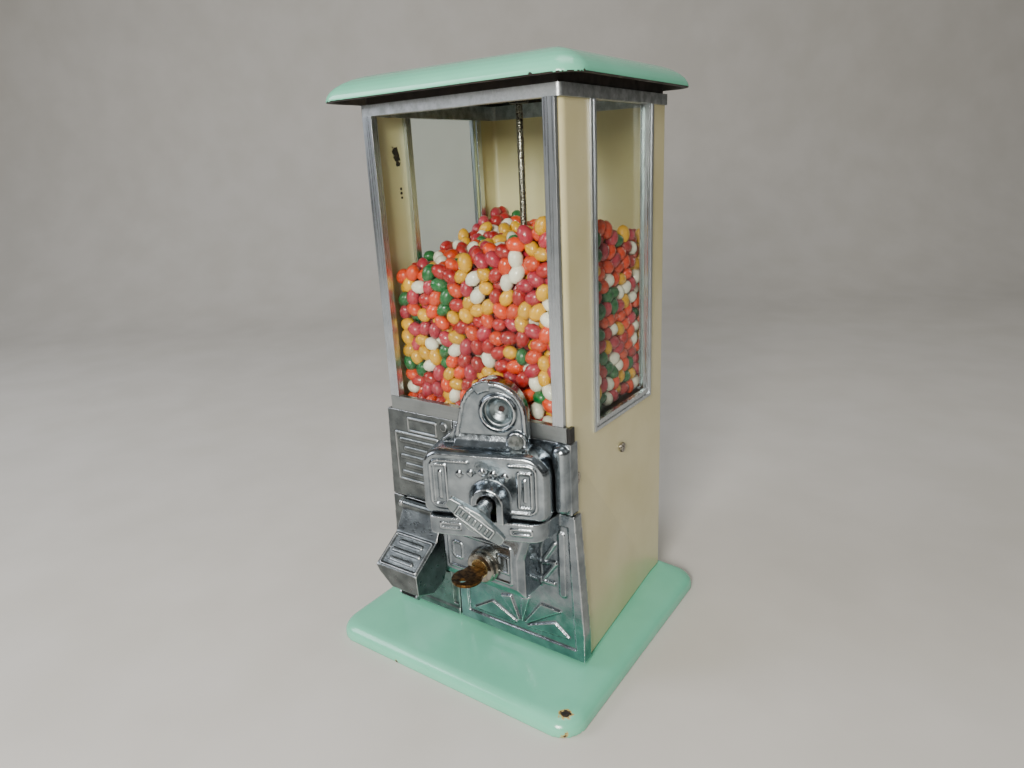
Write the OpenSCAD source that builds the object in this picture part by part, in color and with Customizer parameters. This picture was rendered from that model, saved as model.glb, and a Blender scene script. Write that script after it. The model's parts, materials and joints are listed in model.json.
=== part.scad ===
// Counter-top sweet vendor: an enamelled hopper body with cast front plates,
// a coin mechanism set on the radius of its measuring wheel, a lift-up chute
// flap and a locked coin door. Millimetres, +Z up. The origin is the foot of
// the body's centre axis, on the plane the base stands on; the front faces -Y.

/* [Body] */
// Outside width of the body above its flare
body_w = 150; // [148:0.5:152]
// Outside depth of the body
body_d = 144; // [142:0.5:146]
// Height of the body's top edge
body_top = 377; // [370:1:384]
// Thickness of the body walls
wall = 2.5; // [2:0.1:3]
// Extra half width of the body at its front foot
flare = 8; // [6:0.5:9]

/* [Base] */
// Width of the base
base_w = 212; // [205:1:220]
// Reach of the base in front of the body's axis
base_front = 128; // [120:1:135]
// Reach of the base behind the body's axis
base_back = 83; // [80:1:92]
// Plan corner radius of the base
base_corner = 18; // [15:1:22]

/* [Lid] */
// Width of the lid over its brim
lid_w = 195; // [190:1:200]
// Depth of the lid over its brim
lid_d = 168; // [166:1:176]
// Height of the lid's peak
lid_peak = 408; // [406:1:415]
// Lowest edge of the brim
brim_z = 386.8; // [386:0.1:388]
// Width of the lid's curved border
roll_w = 42; // [36:1:46]

/* [Front castings] */
// Height of the seam under the window sill
sill_z = 175; // [174:0.5:176]
// Height of the seam over the coin door
seam_z = 125.3; // [125:0.1:126]
// Half width of the castings at the sill
cast_top = 78.5; // [78:0.1:79]
// Half width of the castings at their foot
cast_foot = 85.5; // [85:0.1:86]
// Half width of the mechanism frame, which has an upright right edge
frame_half = 78; // [77.9:0.1:78.2]

/* [Coin mechanism] */
// Angle of the mechanism to the front, so that its shaft points at the wheel's axis
mech_yaw = 18.3; // [17:0.1:19]
// Height of the handle shaft
shaft_z = 139; // [138.5:0.1:139.5]
// Radius of the handle shaft
shaft_r = 5; // [4.8:0.1:5]
// Distance from the wheel's axis to the face of the mechanism box
face_reach = 108; // [107:0.5:109]
// Distance from the wheel's axis to the face of the upper lobe
lobe_reach = 94.5; // [94:0.5:95]
// Slope of the handle at rest, in degrees below level on its right
lever_tilt = 36; // [30:1:40]

/* [Measuring wheel] */
// Radius of the measuring wheel
wheel_r = 58.2; // [56:0.2:58.2]
// Number of pockets
pockets = 8; // [8]
// Radius of one pocket
pocket_r = 12.3; // [10:0.1:12.5]
// Radius of the circle through the pockets
pocket_circle = 43; // [42:0.5:43.5]
// Teeth on the shaft pinion
pinion_teeth = 12; // [12]
// Teeth on the crown gear
crown_teeth = 24; // [24]

/* [Lock] */
// Sideways place of the lock
lock_x = 22.5; // [21:0.5:24]
// Height of the lock
lock_z = 86; // [85:0.5:87]

/* [Hidden] */

$fn = 48;
hull_fn = 32;
gap = 0.4;            // shut line between neighbouring castings, each side
fit = 0.05;           // radial running clearance
big = 500;

foot_z = 14;          // underside of the body
pan_top = 12.8;       // top of the base beside the body
cast_y = -75;         // front plane of the castings
cast_t = 3;           // thickness of a casting's face
flange_back = -66;    // where the castings' side flanges end
flange_t = 2.2;
face_y = -body_d / 2; // front plane of the body
window_z0 = 185;      // lower edge of the front window
front_open = 66.4;    // half width of the front opening
trim_x = 73.4;        // outer edge of the front trims
side_y0 = -34;        // side window opening, front to back
side_y1 = 44;
side_z0 = 176;
collar_top = 384;

floor_z = 155;        // underside of the hopper floor's well
well_t = 3;
wheel_z = 158.4;      // underside of the measuring wheel
wheel_t = 12;
hub_r = 13;
pinion_r = 12;        // pitch radius
crown_r = pinion_r * crown_teeth / pinion_teeth;
drop_angle = 200;     // where a pocket empties into the chute
drop_x = pocket_circle * cos(drop_angle);
drop_y = pocket_circle * sin(drop_angle);

lug_y = 0.8;          // side screws
lug_z = 145.6;

flap_x0 = -67;
flap_x1 = -28;
flap_axis = [-78.6, 101];    // y and z of the flap's pin
door_axis = [-69, 20];       // y and z of the door's pins
door_x0 = -21.5;
door_z0 = 16;
pin_r = 1.5;
house_y = -97;               // face of the lock housing
barrel_r = 8.5;
rod_r = 2.4;
bridge_z = 98;

// ---------------------------------------------------------------- helpers

// Rectangle with round corners, centred
module rrect(w, d, r) {
    square([w - 2 * r, d], center = true);
    square([w, d - 2 * r], center = true);
    for (x = [-1, 1], y = [-1, 1])
        translate([x * (w / 2 - r), y * (d / 2 - r)]) circle(r);
}

module slab(w, d, r, z0, z1) {
    translate([0, 0, z0]) linear_extrude(z1 - z0) rrect(w, d, r);
}

// Box from its low corner to its high corner
module block(low, high) {
    translate(low) cube(high - low);
}

// A drawing in X and Z, given depth between two Y planes
module upright(y_front, y_back) {
    translate([0, y_back, 0]) rotate([90, 0, 0]) linear_extrude(y_back - y_front) children();
}

// A drawing in Y and Z, given width between two X planes
module sideways(x0, x1) {
    translate([x0, 0, 0]) rotate([90, 0, 90]) linear_extrude(x1 - x0) children();
}

module rod_y(r, y0, y1, x = 0, z = 0) {
    translate([x, y0, z]) rotate([-90, 0, 0]) cylinder(r = r, h = y1 - y0);
}

module rod_x(r, x0, x1, y = 0, z = 0) {
    translate([x0, y, z]) rotate([0, 90, 0]) cylinder(r = r, h = x1 - x0);
}

module hex_y(r, y0, y1, x = 0, z = 0) {
    translate([x, y0, z]) rotate([-90, 0, 0]) cylinder(r = r, h = y1 - y0, $fn = 6);
}

// Turns a piece into the coin mechanism's frame: -Y runs out along the shaft
module mech() {
    rotate([0, 0, mech_yaw]) children();
}

// A drawing's outline only, as a raised line of width w
module outline_of(w, d, r, line) {
    difference() {
        rrect(w, d, r);
        rrect(w - 2 * line, d - 2 * line, max(r - line, 0.3));
    }
}

// ---------------------------------------------------------------- base

base_d = base_front + base_back;
base_mid = (base_back - base_front) / 2;
edge_r = 9;
lip_h = 3;
bolt_spots = [[-65, -40], [65, -40], [-65, 60], [65, 60]];

module base_form() {
    hull() {
        for (a = [0:15:90])
            translate([0, base_mid, a == 0 ? 0 : lip_h + (edge_r - 1) * sin(a)])
                linear_extrude(a == 0 ? lip_h : 0.1)
                    rrect(base_w - 2 * edge_r * (1 - cos(a)), base_d - 2 * edge_r * (1 - cos(a)),
                          base_corner - edge_r * (1 - cos(a)) / 2, $fn = hull_fn);
        slab(body_w + 16, body_d + 8, 12, pan_top - 0.2, pan_top, $fn = hull_fn);
    }
}

module base_pan() {
    rim = 10;
    rib = 5;
    color("#98cdb4") difference() {
        union() {
            base_form();
            slab(body_w - 6, body_d - 8, 4, pan_top - 1, foot_z);
        }
        difference() {
            translate([0, base_mid, -1]) linear_extrude(10) rrect(base_w - 2 * rim, base_d - 2 * rim, 9);
            for (x = [-1, 1]) block([x * 45 - rib / 2, -big, 2], [x * 45 + rib / 2, big, 12]);
            for (y = [-80, 0]) block([-big, y - rib / 2, 2], [big, y + rib / 2, 12]);
        }
        for (p = bolt_spots) translate([p[0], p[1], -1]) cylinder(r = 2.6, h = 20);
    }
}

// One bolt with its nut for each corner of the body's foot
module base_bolts() {
    color("dimgray") for (p = bolt_spots) translate([p[0], p[1], 0]) {
        translate([0, 0, 5.5]) cylinder(r = 4.6, h = 3.5, $fn = 6);
        translate([0, 0, 8.9]) cylinder(r = 2.5, h = 14);
        translate([0, 0, foot_z + 3]) cylinder(r = 4.6, h = 4, $fn = 6);
    }
}

// ---------------------------------------------------------------- body

// Plan of the body: round at the front corners, sharper at the back
module body_plan() {
    w = body_w / 2;
    d = body_d / 2;
    r = 6;
    b = 1.5;
    translate([-w, r - d]) square([2 * w, 2 * d - r - b]);
    translate([r - w, -d]) square([2 * (w - r), d]);
    translate([b - w, 0]) square([2 * (w - b), d]);
    for (x = [-1, 1]) {
        translate([x * (w - r), r - d]) circle(r);
        translate([x * (w - b), d - b]) circle(b);
    }
}

// The widening of one side towards its front foot, moved in by inset
module side_flare(inset) {
    x = body_w / 2 - inset;
    hull() {
        block([x - 4, 54, foot_z], [x, 55, foot_z + 1]);
        block([x - 4, face_y, sill_z - 6], [x, face_y + 1, sill_z - 5]);
        block([x - 4, face_y, foot_z], [x + flare, face_y + 0.5, foot_z + 0.5]);
    }
}

module both_sides() {
    children();
    mirror([1, 0, 0]) children();
}

// Everything inside the body's walls
module body_inside() {
    slab(body_w - 2 * wall, body_d - 2 * wall, 3.5, foot_z - 1, body_top + 1);
    both_sides() translate([0, -wall, -1]) side_flare(wall);
    both_sides() translate([0, wall, -1]) side_flare(wall);
}

module body_shell() {
    color("#d8d2b2") difference() {
        union() {
            translate([0, 0, foot_z]) linear_extrude(body_top - foot_z) body_plan();
            both_sides() side_flare(0);
        }
        difference() {
            body_inside();
            // foot flange that takes the bolts
            difference() {
                block([-80, -66, foot_z], [80, 80, foot_z + 3]);
                block([-58, -57, foot_z - 1], [58, 58, foot_z + 4]);
            }
        }
        for (p = bolt_spots) translate([p[0], p[1], foot_z - 1]) cylinder(r = 2.6, h = 6);
        block([-90, -90, foot_z - 1], [90, face_y + wall + 0.3, sill_z]);
        block([-90, -90, foot_z - 1], [90, -67.6, foot_z + 6]);
        block([70, -90, seam_z - 1], [90, flange_back + 0.1, sill_z]);
        block([-front_open, -90, sill_z - 1], [front_open, face_y + 8, body_top + 1]);
        for (s = [-1, 1]) {
            x = s * body_w / 2;
            block([x - 6, side_y0, side_z0], [x + 6, side_y1, body_top + 1]);
        }
        rod_x(2.1, -90, 90, lug_y, lug_z);
    }
}

// Screws that hold the hopper floor's lugs, one on each side
module side_screws() {
    color("#4a3b2f") both_sides() {
        rod_x(3.6, body_w / 2 + 0.8, body_w / 2 + 2.1, lug_y, lug_z);
        rod_x(2, 68, body_w / 2 + 1, lug_y, lug_z);
    }
}

module top_collar() {
    color("silver") {
        difference() {
            slab(body_w + 3.2, body_d + 3.2, 3, body_top, collar_top);
            slab(body_w - 8, body_d - 8, 3, body_top - 1, collar_top + 1);
        }
        difference() {
            slab(body_w - 5, body_d - 5, 4, collar_top - 1, collar_top + 3.5);
            slab(body_w - 8, body_d - 8, 3, collar_top - 2, collar_top + 5);
        }
    }
}

// ---------------------------------------------------------------- lid

lid_shift = [-4, -4];        // the lid reaches further over the front and the left
lid_corner = 15;
roll_h = 17.5;
lid_t = 3;

module lid_form(inset, drop) {
    translate([lid_shift[0], lid_shift[1], 0]) hull() {
        for (a = [0:10:90]) {
            in = inset + roll_w * (1 - cos(a));
            translate([0, 0, brim_z - drop + roll_h * sin(a)]) linear_extrude(0.1)
                rrect(lid_w - 2 * in, lid_d - 2 * in, max(lid_corner - in * 0.6, 1), $fn = hull_fn);
        }
        translate([0, 0, lid_peak - drop - 0.1]) linear_extrude(0.1) rrect(26, 12, 4, $fn = hull_fn);
    }
}

module lid() {
    color("#98cdb4") {
        difference() {
            lid_form(0, 0);
            lid_form(lid_t, lid_t);
        }
        // ring that sits on the collar
        difference() {
            union() {
                slab(body_w, body_d, 6, collar_top + 0.05, brim_z + 6);
                intersection() {
                    slab(body_w, body_d, 6, brim_z + 5, lid_peak);
                    lid_form(1, 1);
                }
            }
            slab(body_w - 4, body_d - 4, 5, collar_top - 1, lid_peak);
        }
    }
}

// Strap under the lid that carries the rod
module lid_bracket() {
    color("gray") difference() {
        union() {
            block([-73, -9, 394], [73, 9, 396]);
            translate([0, 0, 388]) cylinder(r = 7, h = 7);
        }
        translate([0, 0, 380]) cylinder(r = rod_r, h = 20);
    }
}

groove_z = bridge_z + 3;

module lid_rod() {
    color("#6b5344") difference() {
        union() {
            translate([0, 0, 72]) cylinder(r = rod_r, h = 396 - 72);
            translate([0, 0, 69]) cylinder(r1 = 1, r2 = rod_r, h = 3);
        }
        translate([0, 0, groove_z]) difference() {
            cylinder(r = 4, h = 3);
            translate([0, 0, -1]) cylinder(r = 1.4, h = 5);
        }
    }
}

module rod_nut() {
    color("dimgray") difference() {
        union() {
            translate([0, 0, 383]) cylinder(r = 5.2, h = 5, $fn = 6);
            translate([0, 0, 381.8]) cylinder(r = 6.5, h = 1.2);
        }
        translate([0, 0, 380]) cylinder(r = rod_r, h = 10);
    }
}

// Strap across the body that steadies the foot of the rod
module rod_bridge() {
    color("gray") difference() {
        union() {
            intersection() {
                union() {
                    block([-80, -9, bridge_z], [80, 9, bridge_z + 2.5]);
                    both_sides() block([70.6, -9, bridge_z - 14], [80, 9, bridge_z + 1]);
                }
                body_inside();
            }
            for (y = [-8.8, 6.8]) block([6, y, bridge_z + 2], [34, y + 2, bridge_z + 6.5]);
        }
        translate([0, 0, bridge_z - 1]) cylinder(r = rod_r + 0.3, h = 8);
    }
}

// Flat key-hole slide that catches the groove in the rod
module rod_latch() {
    color("#b08d57") difference() {
        union() {
            block([-13, -6, groove_z + 0.2], [36, 6, groove_z + 2.2]);
            block([34, -6, groove_z + 0.2], [36, 6, groove_z + 9]);
        }
        translate([0, 0, groove_z - 1]) cylinder(r = 3.4, h = 5);
        block([-10, -1.7, groove_z - 1], [0, 1.7, groove_z + 4]);
    }
}

// ---------------------------------------------------------------- windows

module glass_front() {
    x = front_open + 1.8;
    color("lightcyan", 0.3) block([-x, face_y + wall + 0.1, 174], [x, face_y + wall + 2.1, 376.8]);
}

module side_glass() {
    x = body_w / 2 - wall - 0.1;
    color("lightcyan", 0.3) block([x - 2, side_y0 - 3, 174], [x, side_y1 + 3, 376.8]);
}

module glass_left() {
    mirror([1, 0, 0]) side_glass();
}

module glass_right() {
    side_glass();
}

// Channels on the upright edges of the side panes, inside the body
module glass_channels() {
    x = body_w / 2 - wall - 0.05;
    color("silver") both_sides() difference() {
        for (y = [side_y0 - 4.2, side_y1 - 1.2])
            block([x - 3, y, 178], [x, y + 5.4, body_top - 0.2]);
        block([x - 2.1, side_y0 - 3.1, 170], [x + 1, side_y1 + 3.1, body_top + 1]);
    }
}

// Channel round the three lower sides of a side window
module side_trim() {
    color("silver") {
        difference() {
            block([73.2, -39.2, 170.7], [76.3, 49.6, body_top]);
            block([70, side_y0 + 1.5, side_z0 + 1.5], [80, side_y1 - 1.5, body_top + 1]);
            block([70, -45, 165], [body_w / 2 + 0.02, side_y0 + 0.02, body_top + 1]);
            block([70, side_y1 - 0.02, 165], [body_w / 2 + 0.02, 55, body_top + 1]);
            block([70, -45, 165], [body_w / 2 + 0.02, 55, side_z0 + 0.02]);
            // shallow groove along the channel's face
            difference() {
                block([75.7, -36.6, 173.2], [80, 47, body_top + 1]);
                block([70, side_y0 - 0.6, side_z0 - 0.6], [80, side_y1 + 0.6, body_top + 1]);
            }
        }
    }
}

module window_trim_left() {
    mirror([1, 0, 0]) side_trim();
}

module window_trim_right() {
    side_trim();
}

// Upright strip beside the front window, turned in along the opening
module front_trim() {
    x = front_open - 0.9;
    color("silver") {
        block([x, cast_y, window_z0 + 0.8], [trim_x, face_y, body_top]);
        block([x, face_y - 0.5, window_z0 + 0.8], [front_open, face_y + wall, body_top]);
    }
}

module front_trim_left() {
    mirror([1, 0, 0]) front_trim();
}

module front_trim_right() {
    front_trim();
}

sill_x1 = 75.4;

module front_sill() {
    color("silver") difference() {
        union() {
            block([-trim_x, cast_y, sill_z + gap], [sill_x1, face_y, window_z0 + 0.5]);
            block([-front_open, face_y - 0.5, window_z0 - 4], [front_open, face_y + wall, window_z0]);
        }
        mech() cover_screw_bore(0.1);
    }
}

// Black stop at the top corner of the castings
module corner_block() {
    color("#222222") block([sill_x1 + 0.3, cast_y, sill_z + gap], [frame_half + 0.3, -69.8, window_z0 + 0.5]);
}

// ---------------------------------------------------------------- front castings

function cast_half(z) = cast_foot + (cast_top - cast_foot) * (z - foot_z) / (sill_z - foot_z);

// Right edges of the castings, from the foot up, as [x, z]
taper_edge = [[cast_foot, foot_z], [cast_top, sill_z]];
frame_edge = [[frame_half, foot_z], [frame_half, sill_z]];
door_edge = [[cast_foot - 0.2, foot_z], [cast_foot - 0.2, 37], [79.7, seam_z], [79.7, sill_z]];

// Outline of the castings, seen from the front, with the given right edge
module cast_outline(edge, inset) {
    polygon(concat(
        [[-cast_half(sill_z) + inset, sill_z], [-cast_half(foot_z) + inset, foot_z]],
        [for (p = edge) [p[0] - inset, p[1]]]));
}

// Face and side flanges of the castings between four edges
module cast_part(x0, x1, z0, z1, edge = taper_edge) {
    intersection() {
        difference() {
            upright(cast_y, flange_back) cast_outline(edge, 0);
            upright(cast_y + cast_t, 0) cast_outline(edge, flange_t);
        }
        block([x0, -90, z0], [x1, 0, z1]);
    }
}

// Raised bars that stand in a panel
module bar_rows(x0, x1, z0, z1, rows, h) {
    step = (z1 - z0) / rows;
    for (i = [0:rows - 1])
        translate([(x0 + x1) / 2, cast_y, z0 + step * (i + 0.5)]) rotate([90, 0, 0])
            translate([0, 0, -0.5]) linear_extrude(h + 0.5) rrect(x1 - x0 - (i % 2) * 8, step * 0.42, 0.9);
}

plate_split = -17;

module left_plate() {
    color("#8d8f8c") {
        cast_part(-90, door_x0 - 2 * gap, 105.3, sill_z);
        cast_part(door_x0 - 2 * gap - 1, plate_split - gap, seam_z + gap, sill_z);
        translate([-45.5, cast_y + 0.5, 165]) rotate([90, 0, 0]) linear_extrude(1.4) outline_of(28, 11, 1, 1.2);
        translate([-52, cast_y + 0.5, 138.5]) rotate([90, 0, 0])
            linear_extrude(1.4) outline_of(42, 39, 1.2, 1.3);
        bar_rows(-69, -35, 122, 155, 5, 0.8);
        rod_y(3.2, cast_y - 1, cast_y + 0.5, -24.8, 168.6);
    }
}

module chute_plate() {
    mouth = [[-62, 50], [-30.5, 97]];
    color("#77797a") difference() {
        union() {
            cast_part(-90, door_x0 - 2 * gap, door_z0, 104.5);
            block([-83, cast_y - 0.8, door_z0], [door_x0 - 2 * gap, cast_y, door_z0 + 5]);
            for (x = [flap_x0 - 3.6, flap_x1 + 0.6]) {
                rod_x(3.4, x, x + 3, flap_axis[0], flap_axis[1]);
                block([x, flap_axis[0], 97.6], [x + 3, cast_y + 1, 104.4]);
            }
        }
        block([mouth[0][0], -90, mouth[0][1]], [mouth[1][0], -60, mouth[1][1]]);
        rod_x(1.5, -90, -20, flap_axis[0], flap_axis[1]);
        // recessed field beside the chute
        block([-28.5, cast_y - 0.1, 24], [-24, cast_y + 1.2, 96]);
    }
}

// Screws of the castings: small ones in the left flange, and on the right a
// large head that stands half out from behind the flange
module flange_screws() {
    color("#4a3b2f") {
        for (z = [40, 90, 148.9]) rod_x(1.8, -cast_half(z) - 1.6, -cast_half(z) - 0.12, -68.4, z);
        difference() {
            rod_x(4.6, body_w / 2 + 1.15, body_w / 2 + 2.6, -66.9, 148.9);
            block([60, -90, 130], [90, flange_back + 0.2, 160]);
        }
    }
}

// ---------------------------------------------------------------- chute

flap_t = 2;

// Side view of the flap: its roof line from the pin to the front lip
flap_roof = [[-78.6, 104.2], [-89.8, 83.3], [-113.8, 67.5], [-113, 52]];
flap_foot = [[-97, 45], [-84, 50], [-77.6, 66], [-77.6, 98]];

// Front view of the flap: its left wall runs in towards the foot
module flap_front(inset) {
    offset(delta = -inset)
        polygon([[flap_x0, 120], [flap_x0, 66], [-64.2, 61], [-53.5, 51.5], [-52.5, 20],
                 [flap_x1, 20], [flap_x1, 120]]);
}

module chute_flap() {
    color("#9aa0a0") difference() {
        union() {
            difference() {
                intersection() {
                    sideways(flap_x0, flap_x1) polygon(concat(flap_roof, flap_foot));
                    upright(-130, -70) flap_front(0);
                }
                intersection() {
                    sideways(flap_x0, flap_x1)
                        polygon([[-78.2, 100.4], [-88.5, 81.6], [-111.8, 66.2], [-111, 40],
                                 [-60, 40], [-60, 100.4]]);
                    upright(-120, -50) flap_front(flap_t);
                }
            }
            rod_x(3.2, flap_x0, flap_x1, flap_axis[0], flap_axis[1]);
            // raised edge and bars on the sloping face
            flap_face() translate([0, 0, -0.4]) {
                linear_extrude(1.3) outline_of(36, 26, 2, 1.2);
                for (i = [-1:1])
                    translate([0, i * 7, 0]) linear_extrude(1.2) rrect(27 - 5 * abs(i), 2.6, 1.2);
            }
        }
        rod_x(1.5 + fit, flap_x0 - 1, flap_x1 + 1, flap_axis[0], flap_axis[1]);
    }
}

// Places a drawing on the flap's sloping front face
module flap_face() {
    mid = (flap_roof[1] + flap_roof[2]) / 2;
    run = flap_roof[2] - flap_roof[1];
    translate([(flap_x0 + flap_x1) / 2, mid[0], mid[1]]) rotate([atan2(run[1], -run[0]) * -1, 0, 0])
        children();
}

module flap_pin() {
    color("silver") rod_x(1.5, flap_x0 - 4.4, flap_x1 + 4.4, flap_axis[0], flap_axis[1]);
}

// Plan of the spout
module spout_plan(inset) {
    translate([0, 0, 30]) linear_extrude(70) offset(delta = -inset)
        polygon([[-59.5, -60], [-59.5, -73], [-50.5, -84], [-50.5, -125], [-34, -125], [-34, -60]]);
}

// Sheet channel from the wheel's drop hole to the spout under the flap
module chute_tube() {
    x0 = -60.5;
    x1 = -27.6;
    t = 1.4;
    lower = [[0, 154.8], [0, 132], [-72, 62]];
    upper = [[-72, 92], [-29, 126], [-29, 154.8]];
    color("#b9bcbb") {
        difference() {
            sideways(x0, x1) polygon(concat(lower, upper));
            sideways(x0 + t, x1 - t)
                polygon([[-t, 160], [-t, 132.5], [-73, 63.6], [-73, 89.4], [-29 + t, 125], [-29 + t, 160]]);
        }
        // spout, narrower towards its lip
        difference() {
            intersection() {
                sideways(x0, -30) polygon([[-71.9, 62.4], [-107, 43], [-109, 46.5], [-104, 52], [-71.9, 69]]);
                spout_plan(0);
            }
            intersection() {
                sideways(x0, -30) polygon([[-60, 69], [-106, 44.6], [-118, 44.6], [-118, 80], [-60, 80]]);
                spout_plan(t);
            }
        }
    }
}

// ---------------------------------------------------------------- coin mechanism

// Corner circles of the mechanism box's face, as [x, z, r, growth towards the back]
box_corners = [[-34.5, 158.5, 9.5, 0], [22, 154.5, 13.5, 1], [-40.5, 131, 4, 0], [31.5, 131, 4, 1]];
lobe_mid = [0, 191];
lobe_r = 22.8;
lobe_foot = [[-26.5, 178], [23.4, 178]];
plug_mid = [16.2, 175.4];     // plug screw at the lobe's foot
plug_y = -97.8;
cup_mid = [4.2, 193.5];
cup_r = 9.9;
cover_foot = seam_z + 0.15;
coin_y = -86;                 // front of the coin's path
carrier_r = 26.5;

box_round = 2.6;              // rounding of the box's front edges
box_draft = 2.2;              // how far its right side leans out towards the back

// One layer of the box: every corner rounded by round, those on the right drafted out by draft
module box_layer(y, round, draft) {
    for (c = box_corners)
        rod_y(c[2] + round, y, y + 1, c[0] + c[3] * draft, c[1], $fn = hull_fn);
}

// Point where a line from p touches a circle round c; side is 1 or -1
function touch_point(p, c, r, side) =
    let (a = atan2(p[1] - c[1], p[0] - c[0]) + side * acos(r / norm(p - c)))
    c + r * [cos(a), sin(a)];

// Outline of the upper lobe, moved in by inset
module lobe_outline(inset) {
    left = lobe_foot[0] + [inset, 0];
    right = lobe_foot[1] - [inset, 0];
    r = lobe_r - inset;
    translate(lobe_mid) circle(r, $fn = 96);
    polygon([[left[0], 166], left, touch_point(left, lobe_mid, r, -1), lobe_mid,
             touch_point(right, lobe_mid, r, 1), right, [right[0], 166]]);
}

// The box over the shaft, with rounded front edges
module cover_box() {
    hull() {
        box_layer(-face_reach, 0, 0);
        box_layer(-face_reach + 1.2, 1.4, 0.2);
        box_layer(-face_reach + 4.5, box_round, 0.9);
        box_layer(-face_reach + 17, box_round, box_draft);
        box_layer(-60, box_round, box_draft);
    }
}

module cover_form() {
    cover_box();
    upright(-lobe_reach + 1.2, -70) lobe_outline(0);
    upright(-lobe_reach, -70) lobe_outline(1);
    // raised rim of the lobe
    upright(-lobe_reach - 0.8, -lobe_reach + 1) difference() {
        lobe_outline(1);
        lobe_outline(3);
    }
    // slope from the lobe's face down to the top of the box
    sideways(lobe_foot[0][0], lobe_foot[1][0])
        polygon([[-104.5, 166], [-104, 169], [-99, 171.5], [-96, 174], [-lobe_reach, 178],
                 [-80, 178], [-80, 166]]);
    upright(-lobe_reach + 1, -70)
        polygon([lobe_foot[0] + [0.5, 5], lobe_foot[0] + [-3, 0], lobe_foot[0] + [-10, -6], [-20, 168]]);
    rod_y(6.2, plug_y, -90, plug_mid[0], plug_mid[1]);
    // hood over the shaft
    hull() for (drop = [0, 13])
        translate([0, -face_reach + 1, shaft_z - drop]) rotate([90, 0, 0])
            cylinder(r1 = 14.2, r2 = 10.4, h = 9, $fn = hull_fn);
}

module cover_relief() {
    face_mid = [-4.5, 147.5];
    translate([face_mid[0], -face_reach + 0.4, face_mid[1]]) rotate([90, 0, 0])
    linear_extrude(1.3) difference() {
        outline_of(72, 34, 6, 1.3);
        translate([-face_mid[0], 0]) square([27, 80], center = true);
    }
    for (p = [[-33.2, 147, 9.5, 29], [23.6, 147, 9.5, 25]])
        translate([p[0], -face_reach + 0.4, p[1]]) rotate([90, 0, 0]) linear_extrude(1.3) {
            outline_of(p[2], p[3], 1.4, 1);
            square([1.8, p[3] - 10], center = true);
        }
    // row of lozenges over the hood
    for (i = [-2:2])
        translate([i * 7.6 - 4.5, -face_reach + 0.4, 157.5 - 1.1 * abs(i)]) rotate([90, 45, 0])
            linear_extrude(1.3) square(3.4, center = true);
    // ring round the cup
    translate([cup_mid[0], -lobe_reach, cup_mid[1]]) rotate([90, 0, 0]) rotate_extrude($fn = 96)
        polygon([[cup_r, -1.5], [cup_r, 1.2], [cup_r + 1, 2.2], [cup_r + 2.1, 1.6],
                 [cup_r + 2.9, 0], [cup_r + 2.9, -1.5]]);
    // raised tab in front of the coin slot
    translate([lobe_mid[0], -lobe_reach + 4, lobe_mid[1]]) rotate([90, 0, 0]) linear_extrude(5)
        intersection() {
            difference() {
                circle(lobe_r + 1);
                circle(lobe_r - 6);
            }
            polygon([[0, 0], [-2, 40], [-24, 40]]);
        }
}

module mech_cover() {
    color("#b4b8ba") difference() {
        mech() difference() {
            union() {
                cover_form();
                cover_relief();
            }
            upright(-face_reach + 2.6, 0)
                polygon([[-42, 110], [32.5, 110], [32.5, 158], [25, 165.5], [-34, 165.5], [-42, 158]]);
            upright(-lobe_reach + 2.6, 0) union() {
                translate(lobe_mid) circle(lobe_r - 2.8);
                translate([lobe_mid[0] - lobe_r + 2.8, 155]) square([2 * lobe_r - 5.6, lobe_mid[1] - 155]);
            }
            rod_y(cup_r, -110, -80, cup_mid[0], cup_mid[1], $fn = 96);
            rod_y(5, -110, plug_y, plug_mid[0], plug_mid[1]);
            rod_y(6.4, -120, -100, 0, shaft_z);
            block([-6.4, -120, 100], [6.4, -100, shaft_z]);
            cover_screw_bore(0.1);
            // coin slot in the lobe's rim
            translate([lobe_mid[0], coin_y, lobe_mid[1]]) rotate([0, -25, 0])
                block([-10.5, 0, 10], [10.5, 2.6, 40]);
        }
        block([-big, cast_y, 0], [big, big, big]);
        block([-big, -big, 0], [big, big, cover_foot]);
    }
}

module cover_screw_bore(play) {
    rod_y(2 + play, plug_y - 1, -80, plug_mid[0], plug_mid[1]);
}

module cover_screw() {
    color("#c9c6b4") mech() {
        rod_y(4.8, plug_y - 1.2, plug_y, plug_mid[0], plug_mid[1]);
        cover_screw_bore(0);
    }
}

// Dished seat behind the round window
module coin_cup() {
    color("#8f979b") mech() translate([cup_mid[0], 0, cup_mid[1]]) rotate([90, 0, 0]) rotate_extrude($fn = 64)
        polygon([
            [2, 87.4], [4.5, 88], [7.5, 89.6], [9.3, 91.9], [12.6, 91.9], [12.6, 90.7],
            [10.2, 90.7], [8.4, 88.6], [5, 86.9], [2, 86.3],
        ]);
}

// Sheet channel that leads a coin from the slot to the carrier
module coin_channel() {
    color("gray") difference() {
        mech() {
            block([-12, coin_y - 0.2, 169], [10.6, coin_y + 2.8, 199]);
            block([-9, coin_y + 2.7, 170], [-2, coin_y + 10, 174]);
        }
        mech() block([-10.8, coin_y + 0.5, 160], [9.4, coin_y + 2.3, 210]);
        block([-big, cast_y, 0], [big, big, big]);
    }
}

module mech_frame() {
    color("#a9adaf") difference() {
        union() {
            cast_part(plate_split + gap, 90, seam_z + gap, sill_z, frame_edge);
            frame_shoulder();
        }
        mech() {
            rod_y(7, -100, -60, 0, shaft_z);
            rod_y(carrier_r + 0.8, -90, -79.9, 0, shaft_z);
            cover_screw_bore(0);
        }
    }
}

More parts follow.
